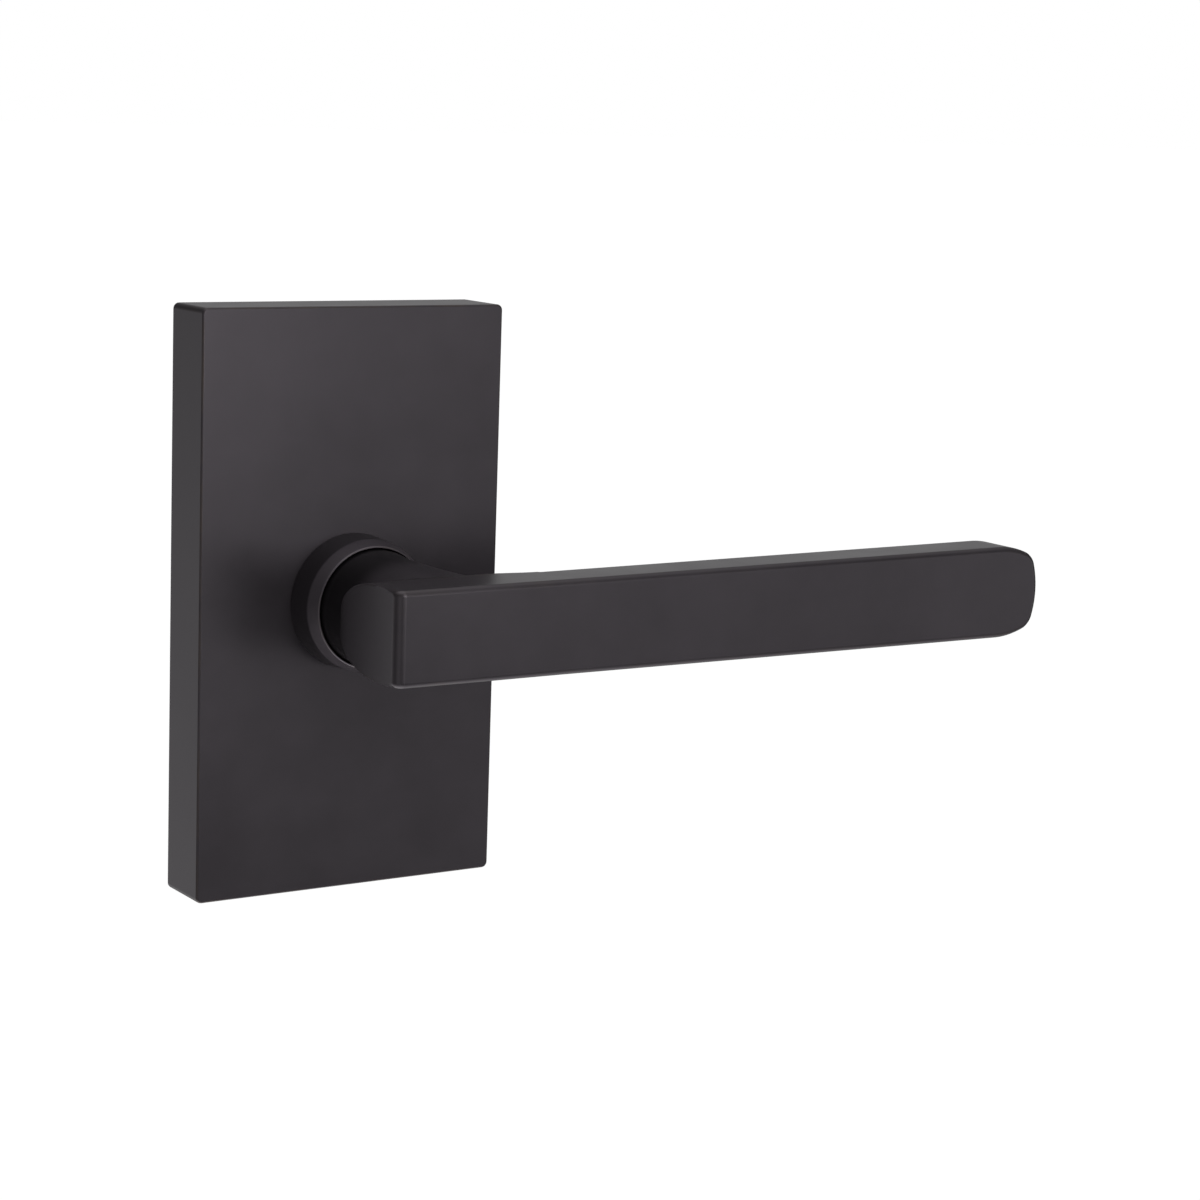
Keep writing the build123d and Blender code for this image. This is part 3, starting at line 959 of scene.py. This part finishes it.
class DOORLEVER_OT_stage(bpy.types.Operator):
    """Set out the floor, the soft studio light and the camera"""

    bl_idname = "door_lever.stage"
    bl_label = "Stage"

    def camera(self, s):
        """The camera, placed by its bearing, height, tilt and distance from what it looks at."""
        az, el, roll = s.azimuth, s.elevation, s.roll
        back = Vector((sin(az) * cos(el), -cos(az) * cos(el), sin(el)))
        right = Vector((0, 0, 1)).cross(back).normalized()
        up = back.cross(right)
        right, up = cos(roll) * right + sin(roll) * up, cos(roll) * up - sin(roll) * right
        camera = bpy.data.objects.new("camera", bpy.data.cameras.new("camera"))
        bpy.context.scene.collection.objects.link(camera)
        camera.data.lens, camera.data.sensor_width = s.lens, 36
        camera.data.clip_start, camera.data.clip_end = 0.01, 100
        place = Matrix((right, up, back)).transposed().to_4x4()
        place.translation = Vector(s.aim) + back * s.distance
        camera.matrix_world = place
        bpy.context.scene.camera = camera

    def light(self):
        """A soft studio all round, and plain white behind the object."""
        world = bpy.data.worlds.new("studio")
        bpy.context.scene.world = world
        world.use_nodes = True
        tree = world.node_tree
        tree.nodes.clear()
        where = add_node(tree, "ShaderNodeTexCoord", (-1000, 0))
        total = None
        for k, (direction, strength, tightness) in enumerate(SOFT_LIGHTS):
            y = -220 * k
            dot = add_node(tree, "ShaderNodeVectorMath", (-800, y), operation="DOT_PRODUCT")
            tree.links.new(where.outputs["Generated"], dot.inputs[0])
            dot.inputs[1].default_value = Vector(direction).normalized()
            front = add_node(tree, "ShaderNodeMath", (-620, y), operation="MAXIMUM")
            tree.links.new(dot.outputs["Value"], front.inputs[0])
            front.inputs[1].default_value = 0
            tight = add_node(tree, "ShaderNodeMath", (-450, y), operation="POWER")
            tree.links.new(front.outputs[0], tight.inputs[0])
            tight.inputs[1].default_value = tightness
            add = add_node(tree, "ShaderNodeMath", (-280, y), operation="MULTIPLY_ADD")
            tree.links.new(tight.outputs[0], add.inputs[0])
            add.inputs[1].default_value = strength
            if total is None:
                add.inputs[2].default_value = BASE_LIGHT
            else:
                tree.links.new(total, add.inputs[2])
            total = add.outputs[0]
        around = add_node(tree, "ShaderNodeBackground", (0, 0))
        tree.links.new(total, around.inputs["Strength"])
        plain = add_node(tree, "ShaderNodeBackground", (0, -160))
        plain.inputs["Color"].default_value = (1, 1, 1, 1)
        seen = add_node(tree, "ShaderNodeLightPath", (0, 360))
        mix = add_node(tree, "ShaderNodeMixShader", (240, 0))
        tree.links.new(seen.outputs["Is Camera Ray"], mix.inputs[0])
        tree.links.new(around.outputs[0], mix.inputs[1])
        tree.links.new(plain.outputs[0], mix.inputs[2])
        end = add_node(tree, "ShaderNodeOutputWorld", (460, 0))
        tree.links.new(mix.outputs[0], end.inputs[0])

    def softboxes(self):
        """Square lamps near the rosette, for the slow fall of light down its face."""
        for name, place, facing, side, watts in SOFTBOXES:
            lamp = bpy.data.objects.new(name, bpy.data.lights.new(name, "AREA"))
            bpy.context.scene.collection.objects.link(lamp)
            lamp.data.shape, lamp.data.size, lamp.data.energy = "SQUARE", side, watts
            lamp.location = place
            lamp.rotation_euler = (Vector(facing) - Vector(place)).to_track_quat("-Z", "Y").to_euler()
            lamp.visible_camera = False

    def floor(self, s):
        """A pale floor well below the rosette, lit evenly."""
        bpy.ops.object.select_all(action="DESELECT")
        bpy.ops.mesh.primitive_plane_add(size=30, location=(0, 0, COVER_LOW.z - s.floor_drop))
        floor = name_new("floor")
        tone = bpy.context.scene.door_lever_finish.floor
        material = bpy.data.materials.new("floor")
        material.use_nodes = True
        tree = material.node_tree
        tree.nodes.clear()
        point = add_node(tree, "ShaderNodeTexCoord", (-900, 0))
        cloud = add_node(tree, "ShaderNodeTexNoise", (-700, 0), Scale=1.5, Detail=2.0)
        tree.links.new(point.outputs["Object"], cloud.inputs["Vector"])
        shade_out = mixed(tree, (-480, 0), cloud.outputs[0], tone, [min(1, c * 1.03) for c in tone])
        matt = add_node(tree, "ShaderNodeBsdfDiffuse", (-240, 100))
        tree.links.new(shade_out, matt.inputs["Color"])
        glow = add_node(tree, "ShaderNodeEmission", (-240, -100), Strength=1.03)
        open_air = add_node(tree, "ShaderNodeBsdfTransparent", (-240, -260))
        seen = add_node(tree, "ShaderNodeLightPath", (-240, 460))
        mix = add_node(tree, "ShaderNodeMixShader", (60, 0))
        tree.links.new(seen.outputs["Is Camera Ray"], mix.inputs[0])
        tree.links.new(open_air.outputs[0], mix.inputs[1])
        both = add_node(tree, "ShaderNodeMixShader", (-60, -100))
        both.inputs[0].default_value = 0.985  # the share of the floor's white that is its own
        tree.links.new(matt.outputs[0], both.inputs[1])
        tree.links.new(glow.outputs[0], both.inputs[2])
        tree.links.new(both.outputs[0], mix.inputs[2])
        end = add_node(tree, "ShaderNodeOutputMaterial", (300, 0))
        tree.links.new(mix.outputs[0], end.inputs[0])
        floor.data.materials.append(material)

    def execute(self, context):
        settings = context.scene.door_lever_stage
        self.camera(settings)
        self.light()
        self.softboxes()
        self.floor(settings)
        context.scene.view_settings.view_transform = "Standard"
        context.scene.view_settings.look = "None"
        return {"FINISHED"}


# ---------------------------------------------------------------- panel and registration

GROUPS = {
    "door_lever_rosette": RosetteSizes,
    "door_lever_collar": CollarSizes,
    "door_lever_handle": LeverSizes,
    "door_lever_bolts": BoltSizes,
    "door_lever_finish": FinishColours,
    "door_lever_stage": StageSettings,
}
OPERATORS = (
    DOORLEVER_OT_stage,
    DOORLEVER_OT_cover,
    DOORLEVER_OT_collar,
    DOORLEVER_OT_handle,
    DOORLEVER_OT_bolts,
    DOORLEVER_OT_spindle,
    DOORLEVER_OT_fittings,
)


class DOORLEVER_PT_panel(bpy.types.Panel):
    """Sizes, colours and steps of the door lever"""

    bl_idname = "DOORLEVER_PT_panel"
    bl_label = "Door lever"
    bl_space_type = "VIEW_3D"
    bl_region_type = "UI"
    bl_category = "Door lever"

    def draw(self, context):
        for step in OPERATORS:
            self.layout.operator(step.bl_idname)
        for name, kind in GROUPS.items():
            box = self.layout.box()
            settings = getattr(context.scene, name)
            for key in kind.__annotations__:
                box.prop(settings, key)


def register():
    for kind in (*GROUPS.values(), *OPERATORS, DOORLEVER_PT_panel):
        bpy.utils.register_class(kind)
    for name, kind in GROUPS.items():
        setattr(bpy.types.Scene, name, PointerProperty(type=kind))


def unregister():
    for name in GROUPS:
        delattr(bpy.types.Scene, name)
    for kind in reversed((*GROUPS.values(), *OPERATORS, DOORLEVER_PT_panel)):
        bpy.utils.unregister_class(kind)


def main():
    register()
    bpy.ops.door_lever.stage()
    bpy.ops.door_lever.cover()
    bpy.ops.door_lever.collar()
    bpy.ops.door_lever.handle()
    bpy.ops.door_lever.bolts()
    bpy.ops.door_lever.spindle()
    bpy.ops.door_lever.fittings()
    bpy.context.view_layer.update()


if __name__ == "__main__":
    main()
